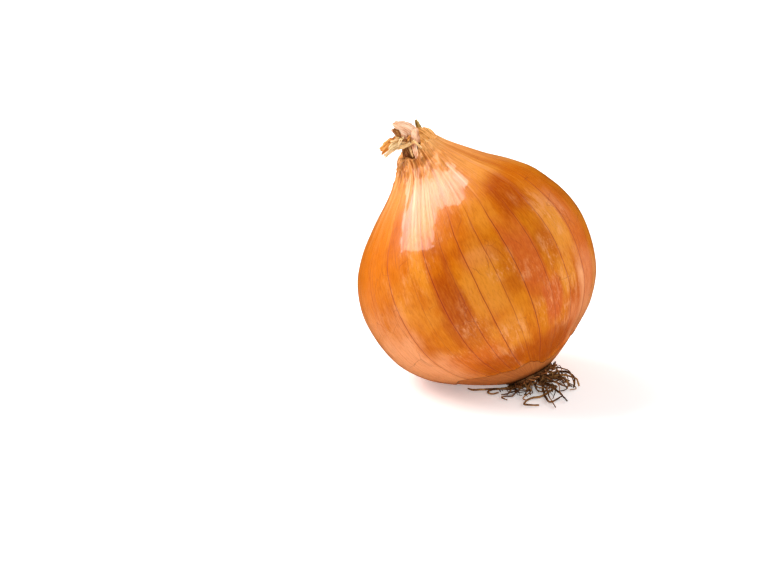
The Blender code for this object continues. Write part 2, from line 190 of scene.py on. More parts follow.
class Finish:
    def __init__(self, name, roughness=0.5):
        self.material = bpy.data.materials.new(name)
        self.material.use_nodes = True
        self.nodes = self.material.node_tree.nodes
        self.links = self.material.node_tree.links
        self.shader = self.nodes["Principled BSDF"]
        self.shader.inputs["Roughness"].default_value = roughness

    def feed(self, socket, value):
        if isinstance(value, Wire):
            self.links.new(value.socket, socket)
        elif isinstance(value, tuple) and socket.type == "RGBA":
            socket.default_value = (*value, 1)
        else:
            socket.default_value = value

    def add(self, kind, settings=None, sockets=None):
        node = self.nodes.new(kind)
        for name, value in (settings or {}).items():
            setattr(node, name, value)
        for name, value in (sockets or {}).items():
            self.feed(node.inputs[name], value)
        return node

    def attribute(self, name, output="Fac"):
        node = self.add("ShaderNodeAttribute", {"attribute_name": name})
        return Wire(self, node.outputs[output])

    def split(self, vector):
        node = self.add("ShaderNodeSeparateXYZ", None, {0: vector})
        return [Wire(self, output) for output in node.outputs]

    def vector(self, x, y, z):
        return Wire(self, self.add("ShaderNodeCombineXYZ", None, {0: x, 1: y, 2: z}).outputs[0])

    def noise(self, vector, detail, roughness, distortion=0.0, scale=1.0):
        sockets = {
            "Vector": vector, "Scale": scale, "Detail": detail,
            "Roughness": roughness, "Distortion": distortion,
        }
        return Wire(self, self.add("ShaderNodeTexNoise", None, sockets).outputs[0])

    def cellEdges(self, vector):
        settings, sockets = {"feature": "DISTANCE_TO_EDGE"}, {"Vector": vector, "Scale": 1}
        return Wire(self, self.add("ShaderNodeTexVoronoi", settings, sockets).outputs["Distance"])

    def mix(self, factor, first, second, mode="MIX"):
        settings, sockets = {"data_type": "RGBA", "blend_type": mode}, {0: factor, 6: first, 7: second}
        return Wire(self, self.add("ShaderNodeMix", settings, sockets).outputs[2])

    def times(self, colour, tint):
        return self.mix(1.0, colour, tint, "MULTIPLY")

    def paint(self, amount, over):  # one more colour over those before it
        self.colour = self.mix(amount, self.colour, over)

    def ramp(self, factor, stops):
        node = self.add("ShaderNodeValToRGB", None, {0: factor})
        elements = node.color_ramp.elements
        while len(elements) < len(stops):
            elements.new(0.5)
        for element, (position, colour) in zip(elements, stops):
            element.position = position
            element.color = (*colour, 1)
        return Wire(self, node.outputs[0])

    def bump(self, height, distance, strength):
        sockets = {"Height": height, "Distance": distance, "Strength": strength}
        node = self.add("ShaderNodeBump", None, sockets)
        self.links.new(node.outputs[0], self.shader.inputs["Normal"])

    def set(self, values):
        for name, value in values.items():
            self.feed(self.shader.inputs[name], value)


def makeActive(piece):
    bpy.ops.object.select_all(action="DESELECT")
    piece.select_set(True)
    bpy.context.view_layer.objects.active = piece


def smooth(piece, angle):
    makeActive(piece)
    bpy.ops.object.shade_smooth_by_angle(angle=math.radians(angle))


def editAll(piece):
    makeActive(piece)
    bpy.ops.object.mode_set(mode="EDIT")
    bpy.ops.mesh.select_all(action="SELECT")


def roundTheAxis(point):  # longitude and distance from the axis
    return math.atan2(point.x, -point.y), math.hypot(point.x, point.y)


def addGrain(piece):  # what the fibres of a dry leaf follow
    return piece.data.attributes.new("grain", "FLOAT_VECTOR", "POINT").data


def extrudeRing(rise, factor, height):
    bpy.ops.mesh.extrude_region_move(TRANSFORM_OT_translate={"value": (0, 0, rise)})
    bpy.ops.transform.resize(value=(factor, factor, 1), center_override=(0, 0, height))


def addDisc(name, corners, radius):
    bpy.ops.mesh.primitive_circle_add(vertices=corners, radius=radius, fill_type="NGON")
    bpy.context.object.name = name
    return bpy.context.object


def makeTurned(name, columns, rings):  # rings are (height, radius), and it stays in edit mode
    height, radius = rings[0]
    piece = addDisc(name, columns, radius)
    piece.location.z = height
    bpy.ops.object.transform_apply(location=True, rotation=True, scale=True)
    editAll(piece)
    for before, after in zip(rings, rings[1:]):
        extrudeRing(after[0] - before[0], after[1] / before[1], after[0])
    bpy.ops.mesh.select_all(action="SELECT")
    return piece


def dress(piece, finish, node):
    piece.data.materials.clear()
    piece.data.materials.append(finish.material)
    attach(piece, "root")
    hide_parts(node)


# Bulb
skinForm = {
    "columns": 256,
    "heightUnit": 41,  # mm, the shader's unit of height
    "bareRows": 7,  # below the torn edge
    "rows": 120,  # above it
    "underFlap": 0.9,  # how far one can look in under the torn edge, in mm
    "skinThickness": 0.16,
    "lift": 0.55,  # how far the torn edge stands off in places
    "curl": (54, 16, 0.6),  # where it stands off most: longitude, half width, mm
    "fray": 0.3,
    "veins": [-60, -46, -32, -22, -12, -3.5, 7, 17, 29.5, 42, 56],  # longitudes
    "veinSpacing": 11,  # on the far side
    "veinScatter": (-5, 6),
    "veinSeed": 5,
    "wrinkle": 0.42,
    "wrinkled": (72, 83),  # heights between which the wrinkles grow
    "unevenness": 0.14,
    # Longitude and height of the skin's upper end, which is torn lower on the left
    "topEdge": [
        (-180, 87.5), (-125, 87.4), (-100, 86.2), (-75, 85.7), (-55, 85.5), (-36, 84.7), (-22, 83.5),
        (-12, 84.7), (-4, 87.1), (6, 87.5), (180, 87.5),
    ],
}


def evenHeights(count):
    end = onionForm["neckEnd"]
    samples = [end * i / 400 for i in range(401)]
    outline = [Vector((curveAt(onionForm["profile"], h), h)) for h in samples]
    along = [0]
    for a, b in zip(outline, outline[1:]):
        along.append(along[-1] + (b - a).length)
    heights, k = [], 0
    for i in range(count + 1):
        while k < 400 and along[k + 1] < along[-1] * i / count:
            k += 1
        heights.append(samples[k])
    heights[-1] = end
    return heights


def skinRows():
    # Each row is (part of the skin, share of its height)
    rows = [("bare", i / skinForm["bareRows"]) for i in range(skinForm["bareRows"] + 1)]
    rows += [("pocket", 0), ("flapInside", 0), ("flapEdge", 0), ("flapTop", 0)]
    end = onionForm["neckEnd"]
    rows += [("outer", height / end) for height in evenHeights(skinForm["rows"])]
    rows += [("rim", 0.35), ("rim", 1.1), ("rim", 2.2), ("rim", 3.4)]
    return rows


def skinPoint(part, share, longitude):
    tear = tearAt(longitude)
    step = onionForm["skinStep"]
    rootEnd = onionForm["rootEnd"]
    thickness = skinForm["skinThickness"]
    turn = Vector((math.sin(longitude), math.cos(longitude), 0))
    end = curveAt(skinForm["topEdge"], math.degrees(longitude))
    torn = ease(0.3, 2.5, onionForm["neckEnd"] - end)
    end -= torn * (0.8 * noise.noise(turn * 14) + 0.45 * noise.noise(turn * 37))
    lift = max(0, noise.noise(turn * 2.3 + Vector((4, 1, 7))) + 0.25) * skinForm["lift"]
    curlMiddle, curlWidth, curl = skinForm["curl"]
    lift += curl * math.exp(-((math.degrees(longitude) - curlMiddle) / curlWidth) ** 2)
    fray = skinForm["fray"]
    tear += fray * noise.noise(turn * 14) + fray * noise.noise(turn * 37)
    if part == "bare":
        height = rootEnd + (tear - 0.1 - rootEnd) * share
        inset = step * ease(0, 2, height)
    elif part == "pocket":
        height, inset = tear + skinForm["underFlap"], step
    elif part == "flapInside":
        height, inset = tear + skinForm["underFlap"], thickness + 0.12
    elif part == "flapEdge":
        height, inset = tear, thickness - lift
    elif part == "flapTop":
        height, inset = tear + 0.04, -lift + 0.03
    elif part == "outer":
        height = tear + 0.12 + (end - tear - 0.12) * share
        inset = -lift * (1 - ease(0, 2.2, height - tear)) * 0.9
    else:
        height = end - 0.2 * share**1.5
        inset = share
    radius = roundRadius(longitude, height) - inset
    if part in ("outer", "rim"):
        radius += skinForm["unevenness"] * noiseAt(turn.x * 2, turn.y * 2, height / 20)
        neck = ease(*skinForm["wrinkled"], height)
        crinkle = noiseAt(turn.x * 6, turn.y * 6, height * 0.4)
        crinkle += 0.8 * noiseAt(turn.x * 13, turn.y * 13, height * 0.7 + 5)
        side = ease(-0.1, 0.7, math.cos(longitude + 0.75))  # stronger on the left of the neck
        crinkle *= 0.3 + 1.4 * side + 1.3 * side * ease(77, 84, height)
        radius += skinForm["wrinkle"] * crinkle * neck
        fine = noiseAt(turn.x * 22, turn.y * 22, height * 0.12)
        radius += 0.1 * fine * ease(62, 80, height)
        radius += torn * ease(end - 2, end, height) * (0.35 + 0.5 * noise.noise(turn * 9))
    return onionPoint(longitude, radius, height), tear


def veinLongitudes():
    draw = random.Random(skinForm["veinSeed"])
    veins = list(skinForm["veins"])
    spacing = skinForm["veinSpacing"]
    while veins[-1] + spacing < veins[0] + 360 - 4:
        veins.append(veins[-1] + spacing + draw.uniform(*skinForm["veinScatter"]))
    return veins


def makeBulb():
    columns = skinForm["columns"]
    rows = skinRows()
    end = onionForm["neckEnd"]
    bulb = addDisc("bulbSkin", columns, onionForm["profile"][0][1])
    editAll(bulb)
    spots = [skinPoint(part, share, 0)[0] for part, share in rows]
    for before, after in zip(spots, spots[1:]):
        extrudeRing(after.z - before.z, abs(after.y / before.y), after.z)
    bpy.ops.object.mode_set(mode="OBJECT")
    data = bulb.data
    # Each ring keeps its longitudes, and its folds, wrinkles and torn edge are worked in
    veins = veinLongitudes()
    count = len(veins)
    for name, kind in (("around", "FLOAT_VECTOR"), ("veinGap", "FLOAT"), ("aboveTear", "FLOAT")):
        data.attributes.new(name, kind, "POINT")
    around, gap, above = (data.attributes[name].data for name in ("around", "veinGap", "aboveTear"))
    numbers = []
    for vertex in data.vertices:
        part, share = rows[vertex.index // columns]
        longitude, _ = roundTheAxis(vertex.co)
        point, tear = skinPoint(part, share, longitude)
        vertex.co = point
        degrees = math.degrees(longitude)
        while degrees < veins[0]:
            degrees += 360
        k = max(i for i in range(count) if veins[i] <= degrees)
        after = veins[k + 1] if k + 1 < count else veins[0] + 360
        numbers.append(((k + (degrees - veins[k]) / (after - veins[k])) / count, point.z))
        width = math.radians(after - veins[k]) * roundRadius(longitude, min(point.z, end))
        height = point.z / skinForm["heightUnit"]
        around[vertex.index].vector = (math.sin(longitude), -math.cos(longitude), height)
        gap[vertex.index].value = width
        inner = part in ("bare", "pocket")
        above[vertex.index].value = -abs(tear - point.z) - 0.01 if inner else max(point.z - tear, 0)
    layer = data.uv_layers.new(name="veins")
    for face in data.polygons:
        across = [numbers[data.loops[i].vertex_index][0] for i in face.loop_indices]
        wraps = max(across) - min(across) > 0.5
        for i, u in zip(face.loop_indices, across):
            height = numbers[data.loops[i].vertex_index][1]
            layer.data[i].uv = (u + 1 if wraps and u < 0.5 else u, height / end)
    return bulb, count


skinLook = {
    "golden": (0.62, 0.18, 0.003),
    "amber": (0.55, 0.128, 0.0),
    "dark": (0.42, 0.074, 0.0),
    "light": (0.7, 0.245, 0.022),
    "red": (0.56, 0.105, 0.014),
    # peach is the skin's own pale tone, and low on the left and right sides also a painted pale
    # reflection
    "peachAndPaintedReflection": (0.76, 0.31, 0.13),
    "vein": (0.2, 0.018, 0.007),
    "scuff": (0.84, 0.4, 0.17),
    "pale": (0.8, 0.31, 0.045),
    "neck": (0.74, 0.3, 0.075),
    "rim": (0.82, 0.42, 0.14),  # at the very neck
    "inner": (0.54, 0.165, 0.034),
    "shadow": (0.08, 0.02, 0.003),
    # Patches: longitude, height, half width in degrees, half height in mm, strength
    "patches": {
        # The peach patches low on the left and right sides are partly painted reflection
        "peachAndPaintedReflection": [
            (-60, 24, 22, 16, 0.9), (-70, 42, 14, 14, 0.6), (72, 18, 14, 16, 0.5),
            (-52, 16, 22, 10, 0.8), (59, 21, 11, 16, 0.95), (49, 13, 12, 8, 0.7),
            (55, 50, 9, 8, 0.35), (-50, 38, 9, 8, 0.5),
            (2, 47, 11, 5, 0.2), (165, 22, 24, 14, 0.6), (-128, 34, 18, 16, 0.5),
        ],
        "light": [
            (48, 43, 8, 11, 1), (43, 30, 7, 9, 0.7), (-1, 36, 11, 12, 0.8), (1, 20, 13, 9, 0.7),
            (-38, 40, 9, 10, 0.4), (40, 74, 16, 8, 0.9), (16, 60, 8, 8, 0.5), (-150, 48, 16, 18, 0.6),
            (125, 40, 12, 16, 0.6),
        ],
        "red": [
            (24, 40, 8, 22, 0.9), (30, 23, 8, 11, 1), (36, 10, 18, 7, 0.8), (-22, 15, 24, 8, 0.5),
            (62, 32, 8, 28, 0.6), (44, 17, 12, 9, 0.5),
        ],
        # The dark patches at heights 9 and 11 mm are painted shade near the floor and roots; the others
        # are the skin's own darker tone
        "dark": [
            (178, 52, 12, 14, 0.8), (100, 56, 14, 12, 0.7), (-95, 30, 10, 16, 0.6), (36, 61, 13, 10, 1),
            (-17, 42, 8, 24, 1), (-20, 29, 8, 8, 0.7), (3, 55, 8, 6, 0.3), (24, 9, 27, 7, 0.9),
            (-10, 11, 22, 5, 0.8),
        ],
        "amber": [
            (-4, 60, 11, 8, 1), (-19, 51, 6, 5, 0.8), (-34, 45, 8, 7, 0.5), (55, 62, 14, 8, 0.5),
            (-66, 56, 22, 24, 0.8),
        ],
    },
    "scuffPatches": [
        (10, 42, 9, 6, 1), (37, 39, 5, 9, 1), (49, 45, 5, 6, 0.9), (23, 21, 8, 6, 1), (3, 20, 9, 6, 1),
        (-15, 28, 8, 4, 0.9), (-11, 58, 8, 1.2, 1), (39, 17, 6, 7, 1), (56, 47, 6, 5, 0.8),
        (67, 13, 6, 9, 0.9), (-5, 14, 13, 4, 0.5), (-27, 19, 12, 5, 0.9), (22, 37, 8, 5, 0.8),
    ],
    "gloss": {"Specular IOR Level": 0.1, "Coat Roughness": 0.07, "Coat IOR": 1.5},
    "reliefDepth": 0.00016,
}


def skinFinish(veinCount):
    look = skinLook
    f = Finish("onionSkin", 0.3)
    x, y, z = f.split(f.attribute("around", "Vector"))
    height = z * skinForm["heightUnit"]  # mm
    gap = f.attribute("veinGap")
    above = f.attribute("aboveTear")
    uv = f.add("ShaderNodeUVMap", {"uv_map": "veins"})
    number, _, _ = f.split(Wire(f, uv.outputs[0]))

    def stretched(across, along, shift, *noiseValues):  # noise drawn out along the onion
        return f.noise(f.vector(x * across + shift, y * across, z * along), *noiseValues)

    warp = stretched(3.5, 3.5, 2, 3, 0.55) - 0.5
    warpUp = stretched(4, 3, 11, 3, 0.55) - 0.5

    def spots(patches):  # 1 inside the patches, 0 outside them
        total = 0
        for longitude, at, wide, tall, strength in patches:
            angle = math.radians(longitude)
            facing = x * math.sin(angle) - y * math.cos(angle)
            outside = math.cos(math.radians(wide))
            near = (facing + warp * (1 - outside) * 1.2).rise(outside, outside * 0.25 + 0.75)
            far = abs(height - at + warpUp * tall * 0.8).rise(tall * 0.35, tall)
            patch = near * (1 - far) * strength
            total = patch.maths("MAXIMUM", patch, total)
        return total

    # Veins, numbered round the bulb
    wander = stretched(1.3, 2.6, 5, 2, 0.5) - 0.5
    tremble = stretched(4, 16, 1, 2, 0.5) - 0.5
    count = number * veinCount + wander * 0.1 + tremble * 0.035
    away = abs((count + 0.5).fraction() - 0.5) * gap
    which = (count + 0.5).floor()

    # Broad colour, with bands that end at the veins
    drift = stretched(2.0, 1.1, 3, 3, 0.5)
    band = f.noise(f.vector(count.floor() * 7.3 + warp * 1.2, z * 2.2, 2), 2, 0.5)
    onFront = (y * -1).rise(-0.2, 0.45)
    f.colour = f.mix(drift.rise(0.4, 0.6), look["golden"], look["amber"])
    f.paint(band.rise(0.5, 0.66) * (0.3 + onFront * 0.3), look["dark"])
    f.paint((1 - band.rise(0.34, 0.48)) * (0.25 + onFront * 0.25), look["light"])
    # Patches of tone: the low peach ones are partly painted reflection, and the lowest dark ones are
    # painted shade
    for tone, patches in look["patches"].items():
        f.paint(spots(patches), look[tone])
    f.paint(height.rise(66, 80) * 0.75, look["neck"])
    f.paint(height.rise(81, onionForm["neckEnd"]) * 0.8, look["rim"])

    # Fibres and long streaks, strongest at the neck
    streak = stretched(13, 0.5, 9, 4, 0.66)
    wide = stretched(38, 0.7, 0, 3, 0.6)
    fine = stretched(120, 2.4, 2, 3, 0.65)
    grain = stretched(70, 17, 4, 4, 0.7)
    fibre = wide * 0.55 + fine * 0.45
    atNeck = height.rise(60, 76)
    darker = f.times(f.colour, (0.74, 0.6, 0.42))
    lighter = f.mix(0.35, f.colour, look["pale"])
    f.paint((1 - fibre.rise(0.38, 0.5)) * (0.22 + atNeck * 0.6), darker)
    f.paint(fibre.rise(0.52, 0.66) * (0.2 + atNeck * 0.6), lighter)
    f.paint((1 - grain.rise(0.36, 0.52)) * 0.5, darker)
    f.paint(grain.rise(0.5, 0.66) * 0.4, lighter)
    f.paint((1 - streak.rise(0.37, 0.5)) * (0.1 + atNeck * 0.75), darker)
    paler = f.mix(0.55, f.colour, look["scuff"])
    f.paint(streak.rise(0.52, 0.64) * (0.05 + atNeck * 0.8), paler)

    # Painted shade in the creases and folds where the neck is crumpled
    onLeft = (y * -0.74 - x * 0.67).rise(0.55, 0.98)
    crumpled = height.rise(75, 81) * onLeft
    crease = stretched(8, 3, 3, 2, 0.6, 0.7)
    shadedCreases = (1 - abs(crease - 0.5).rise(0.005, 0.045)) * crumpled
    foldShade = f.times(f.colour, (0.55, 0.36, 0.22))
    f.paint((1 - streak.rise(0.42, 0.53)) * crumpled * 0.6, foldShade)

    strength = f.noise(f.vector(which * 3.7, 0.3, z * 0.9), 1, 0.5).rise(0.28, 0.6)
    taper = height.rise(2, 9) * (1 - height.rise(54, 68) * 0.75)
    line = (1 - away.rise(0.04, 0.19)) * (0.4 + strength * 0.6) * taper
    halo = (1 - away.rise(0.1, 1.3)) * strength * taper
    f.paint(halo * 0.3, look["red"])
    f.paint(line * 0.9, look["vein"])
    # painted shade along the neck's creases, in the vein colour
    f.paint(shadedCreases * 0.45, look["vein"])

    # Thin threads between the veins, which fork and join
    thread = abs((count * 3 + wander * 3 + tremble * 2 + 0.5).fraction() - 0.5) * gap / 3
    threads = (1 - thread.rise(0.02, 0.14)) * stretched(5, 3, 8, 2, 0.5).rise(0.54, 0.7)
    net = f.cellEdges(f.vector(x * 5 + wander, y * 5, z * 3.2 + tremble * 0.5))
    net = (1 - net.rise(0.0, 0.018)) * stretched(3, 4, 6, 1, 0.5).rise(0.5, 0.64)
    f.paint(threads * 0.25, look["vein"])
    f.paint(net * 0.42, look["vein"])

    # Pale scuffs where the dry skin has lifted
    blotch = stretched(13, 5, 4, 5, 0.72)
    flecks = stretched(52, 22, 7, 4, 0.75)
    anywhere = stretched(1.9, 1.5, 12, 2, 0.5).rise(0.52, 0.64)
    where = anywhere.maths("MAXIMUM", anywhere * 0.7, spots(look["scuffPatches"]))
    scuff = where * (blotch.rise(0.48, 0.62) * 0.6 + flecks.rise(0.52, 0.68) * 0.55)
    dots = stretched(130, 130, 3, 2, 0.5).rise(0.68, 0.76) * where
    scuff = scuff.maths("MAXIMUM", scuff, dots * 0.7) * (0.5 + grain)
    f.paint(scuff * 0.55, look["scuff"])

    # Bare inner skin below the torn edge
    isInner = 1 - above.rise(-0.01, 0.0)
    innerDark = f.times(look["inner"], (0.7, 0.58, 0.5))
    inner = f.mix(fibre.rise(0.35, 0.65), innerDark, look["inner"])
    inner = f.mix(1 - height.rise(0.4, 3.4), inner, look["shadow"])
    f.paint((1 - above.rise(0.05, 0.42)) * 0.7, look["shadow"])
    f.paint(isInner, inner)

    rough = 0.3 + scuff * 0.2 + height.rise(70, 86) * 0.2 + isInner * 0.25 + fine * 0.1
    relief = fibre * 0.5 + wide * 0.5 - line * 0.4 + scuff * 0.25 + grain * 0.4
    relief = relief + streak * (0.2 + atNeck * 1.5)
    relief = relief + stretched(14, 14, 6, 3, 0.6) * 0.45 - shadedCreases * 2.5
    relief = relief + stretched(75, 60, 8, 2, 0.6) * 0.3
    coat = (1 - isInner) * (1 - height.rise(72, 84) * 0.85) * (1 - scuff * 0.5)
    coat = coat * (0.16 + fibre.rise(0.3, 0.7) * 0.44)
    f.set({"Base Color": f.colour, "Roughness": rough, "Coat Weight": coat, **look["gloss"]})
    f.bump(relief, look["reliefDepth"], 0.9)
    return f


bulb, veinCount = makeBulb()
smooth(bulb, 35)
bulb.data.transform(lying)
dress(bulb, skinFinish(veinCount), "bulb")
editAll(bulb)
bpy.ops.mesh.bisect(  # the flat spot that it lies on
    plane_co=(0, 0, 0), plane_no=(0, 0, 1), use_fill=True, clear_inner=True, threshold=0.000001
)
bpy.ops.object.mode_set(mode="OBJECT")
print("bulb", len(bulb.data.polygons), "faces")


# Dry neck
leafForm = {
    "grid": (22, 14),  # along and across
    "thickness": 0.2,
    "ripple": 0.36,
    "tear": 0.09,  # how ragged the ends are, as a share of the length
    # Name, tone, base, bend, tip, widths at these three, side, cup, and the tip's side if it differs
    "leaves": [
        ("broadLeaf", "pinkish", (-0.1, -3.2, 88.4), (-0.1, -5.4, 93), (-4.5, -4.6, 97),
         (5.8, 6.4, 3.8), (1, 0, 0.1), 0.14, (0.67, 0, 0.74)),
        ("pointedLeaf", "olive", (3, -2.2, 90.4), (3.1, -2.6, 93), (3.2, -2.8, 95.4),
         (1.1, 1.7, 0.6), (1, 0, 0), 0.1),
        ("pinkFold", "pinkish", (1, -4.6, 87.6), (0.9, -6.9, 89.8), (1.2, -4.8, 92.6),
         (2.6, 3.6, 2.6), (1, 0.2, 0), 0.2),
        ("darkFold", "brown", (-3.2, -4.5, 92.6), (-4.4, -5.6, 94), (-5, -4.9, 95.8),
         (2.2, 2.3, 1.1), (0.84, 0, 0.54), 0.2),
        ("upperStrip", "orange", (-2.4, -1.6, 91.1), (-7.2, -3.2, 92.8), (-12, -4, 91),
         (3.4, 3.5, 2.5), (0.1, 0.3, 1), 0.08),
        ("lowerStrip", "cream", (-2, -3.2, 89.6), (-6.4, -5, 90.6), (-11.7, -4.7, 89),
         (1.6, 1.8, 1.4), (0.1, -0.4, 1), 0.08),
        ("crossingStrip", "straw", (-6.6, -3.6, 89.5), (-2.4, -6.6, 88.7), (-0.2, -7.3, 89.5),
         (1.3, 1.2, 0.9), (0, 0.2, 1), 0.1),
        ("fallingStrip", "straw", (-0.9, -6.9, 89.6), (-0.2, -7.9, 88.8), (0.7, -8.6, 86.1),
         (0.8, 0.8, 0.5), (1, 0.1, 0.5), 0.1),
        ("middleStrip", "cream", (-1.6, -2.8, 90.4), (-5.6, -4.6, 92.2), (-9, -4.4, 90.6),
         (2.8, 2.6, 0.9), (0.1, 0.1, 1), 0.15),
        ("leftFarLeaf", "golden", (-2.6, 2.2, 88.8), (-3.6, 3.8, 91.6), (-4.6, 5, 93),
         (5, 5, 3.6), (0.7, 0.7, 0), 0.12),
        ("rightFarLeaf", "golden", (1.6, 2.6, 88.8), (2.4, 5.2, 91.2), (2.8, 6.6, 90.4),
         (5.4, 5.6, 4), (1, 0, 0), 0.12),
        ("innerLeaf", "pinkish", (-0.4, 1.6, 89.6), (-0.6, 2.6, 92.4), (0.2, 3.2, 94.6),
         (3.6, 4.2, 2.8), (1, 0, 0), -0.1),
        ("shredA", "straw", (-2.6, -4.6, 88.4), (-2.9, -6.8, 87.4), (-3.2, -7.6, 84.7),
         (0.5, 0.7, 0.4), (1, 0.3, 0), 0.2),
        ("shredB", "pinkish", (-0.9, -5, 88.6), (-1.4, -7.3, 87.5), (-1.9, -8.4, 83.9),
         (1.2, 1.7, 1.3), (1, 0.2, 0), 0.25),
        ("shredC", "brown", (-4.4, -3.6, 88.6), (-5.2, -5, 87.4), (-6.4, -5.2, 85),
         (0.8, 0.9, 0.5), (1, 0.6, 0), 0.2),
        ("knotA", "straw", (-2.8, -2.6, 90.6), (-5, -5.6, 91.6), (-7.6, -4.2, 92.6),
         (0.9, 0.8, 0.5), (0.2, 0.2, 1), 0.2),
        ("knotB", "straw", (-1.6, -4.2, 89.4), (-3.8, -6.4, 91), (-5.4, -4.4, 93.4),
         (0.7, 0.9, 0.6), (0.4, 0, 1), 0.2),
        ("knotC", "straw", (-5.6, -3.2, 91.4), (-4.2, -6.2, 90.4), (-1.4, -5.6, 89.4),
         (0.5, 0.7, 0.5), (0.1, 0.2, 1), 0.2),
        ("knotD", "brown", (-4.8, -5.1, 92.2), (-3.8, -7.3, 91.4), (-2.2, -6.3, 90.1),
         (0.8, 1, 0.5), (0.3, 0.2, 1), 0.3),
        ("knotE", "orange", (-3.2, -5.2, 90.2), (-2.1, -7.5, 90.6), (-0.7, -6.5, 91.6),
         (0.6, 0.9, 0.5), (0.2, 0.3, 1), 0.3),
        ("knotF", "cream", (-5.6, -4.6, 90.6), (-4.6, -6.7, 91.5), (-3, -6.5, 92.2),
         (0.6, 0.9, 0.5), (-0.3, 0.3, 1), 0.3),
        ("knotG", "brown", (-1.7, -5.6, 91.9), (-1.1, -7.3, 91), (-1.6, -6.9, 89.4),
         (0.5, 0.8, 0.4), (1, 0.2, 0.2), 0.3),
    ],
    # The leaf that wraps the right of the neck, with longitude and height along its upper edge
    "wrapEdge": [(12, 92.2), (24, 92.6), (45, 92), (78, 90.6), (100, 89.4), (122, 88.7)],
    "wrapGrid": (70, 22),
    "wrapRadius": 6.5,
    "wrapLow": 86.9,
    "wrapLeaves": (86.6, 88.8),  # heights between which it leaves the bulb's outline
    "wrapOpens": 87.8,
    # Pale, middle and dark colour of each kind of dry leaf
    "tones": {
        "pinkish": ((1.0, 0.74, 0.52), (1.0, 0.56, 0.33), (0.58, 0.19, 0.07)),
        "golden": ((0.94, 0.52, 0.19), (0.78, 0.32, 0.07), (0.32, 0.09, 0.014)),
        "orange": ((0.88, 0.44, 0.13), (0.74, 0.27, 0.04), (0.36, 0.1, 0.012)),
        "straw": ((0.96, 0.68, 0.36), (0.8, 0.46, 0.17), (0.38, 0.15, 0.035)),
        "cream": ((1.0, 0.8, 0.5), (0.9, 0.62, 0.3), (0.48, 0.23, 0.06)),
        "olive": ((0.62, 0.42, 0.13), (0.42, 0.25, 0.06), (0.17, 0.085, 0.016)),
        "brown": ((0.55, 0.24, 0.07), (0.29, 0.095, 0.018), (0.09, 0.024, 0.005)),
    },
}


def addGrid(name, columns, rows):
    bpy.ops.mesh.primitive_grid_add(x_subdivisions=columns, y_subdivisions=rows, size=2)
    bpy.context.object.name = name
    return bpy.context.object


def addThickness(leaf):
    makeActive(leaf)
    shell = leaf.modifiers.new("thickness", "SOLIDIFY")
    shell.thickness = leafForm["thickness"]
    shell.offset = 0
    bpy.ops.object.modifier_apply(modifier=shell.name)


def makeLeaf(name, base, bend, tip, widths, side, cup, tipSide=None):
    base, bend, tip = Vector(base), Vector(bend), Vector(tip)
    side = Vector(side).normalized()
    tipSide = Vector(tipSide).normalized() if tipSide else side
    leaf = addGrid(name, *leafForm["grid"])
    grain = addGrain(leaf)
    seed = sum(map(ord, name)) % 17
    size = min(1, widths[1] / 5)
    for vertex in leaf.data.vertices:
        t, u = (vertex.co.x + 1) / 2, vertex.co.y
        ragged = noiseAt(u * 1.8, seed, 0) + (1.1 - size) * noiseAt(u * 7, seed, 4)
        reach = t * (1 + leafForm["tear"] * ragged * t**3)
        middle = (1 - reach) ** 2 * base + 2 * reach * (1 - reach) * bend + reach**2 * tip
        along = ((1 - t) * (bend - base) + t * (tip - bend)).normalized()
        across = side.lerp(tipSide, t).normalized()
        width = (1 - t) * (1 - 2 * t) * widths[0] + 4 * t * (1 - t) * widths[1]
        width += t * (2 * t - 1) * widths[2]
        out = along.cross(across).normalized()
        pleat = math.sin(u * 7 + seed + 5 * t) * 0.6 + noiseAt(u * 3, t * 4, seed) * 1.3
        pleat += 0.5 * noiseAt(u * 7, t * 8, seed)
        curl = cup * width * (u * u - 0.5) + leafForm["ripple"] * size * pleat * (0.4 + 0.6 * t)
        fray = 0.14 * noiseAt(t * 6, seed, 9 if u > 0 else 2)
        fray = (fray + 0.08 * noiseAt(t * 19, seed, u)) * width
        grain[vertex.index].vector = (u * width / 6, t, seed)
        vertex.co = middle + across * (u * width / 2 + fray * u * abs(u)) + out * curl
    addThickness(leaf)
    return leaf


def makeWrap():
    leaf = addGrid("wrappingLeaf", *leafForm["wrapGrid"])
    grain = addGrain(leaf)
    edge, low, opens = leafForm["wrapEdge"], leafForm["wrapLow"], leafForm["wrapOpens"]
    last = edge[-1][0]
    for vertex in leaf.data.vertices:
        share = (vertex.co.y + 1) / 2
        first = 4 + 18 * share  # the near edge slants
        degrees = first + (last - first) * (vertex.co.x + 1) / 2
        longitude = math.radians(degrees)
        high = curveAt(edge, degrees)
        high += 0.35 * noiseAt(degrees / 9, 3, 1) + 0.25 * noiseAt(degrees / 3, 8, 1)
        height = low + (high - low) * share
        rise = max((height - opens) / (high - opens), 0)
        collar = leafForm["wrapRadius"] + 0.5 * rise - 1.25 * rise**3
        blend = ease(*leafForm["wrapLeaves"], height)
        onBulb = roundRadius(longitude, min(height, onionForm["neckEnd"])) + 0.06
        radius = (1 - blend) * onBulb + blend * collar
        radius += 0.22 * noiseAt(degrees / 11 + height * 0.35, height * 0.2, 2)
        radius += 0.12 * noiseAt(degrees / 4 + height * 0.9, height * 0.2, 6)
        fromEdge = (degrees - first) + 3 * noiseAt(height * 1.2, 4, 4)
        radius += 0.5 * (1 - ease(0, 16, fromEdge)) * share * share
        lean = longitude * radius + 0.55 * (height - 88)
        grain[vertex.index].vector = (lean / 6, (height - 88) / 9, 5)
        vertex.co = onionPoint(longitude, radius, height)
    addThickness(leaf)
    return leaf


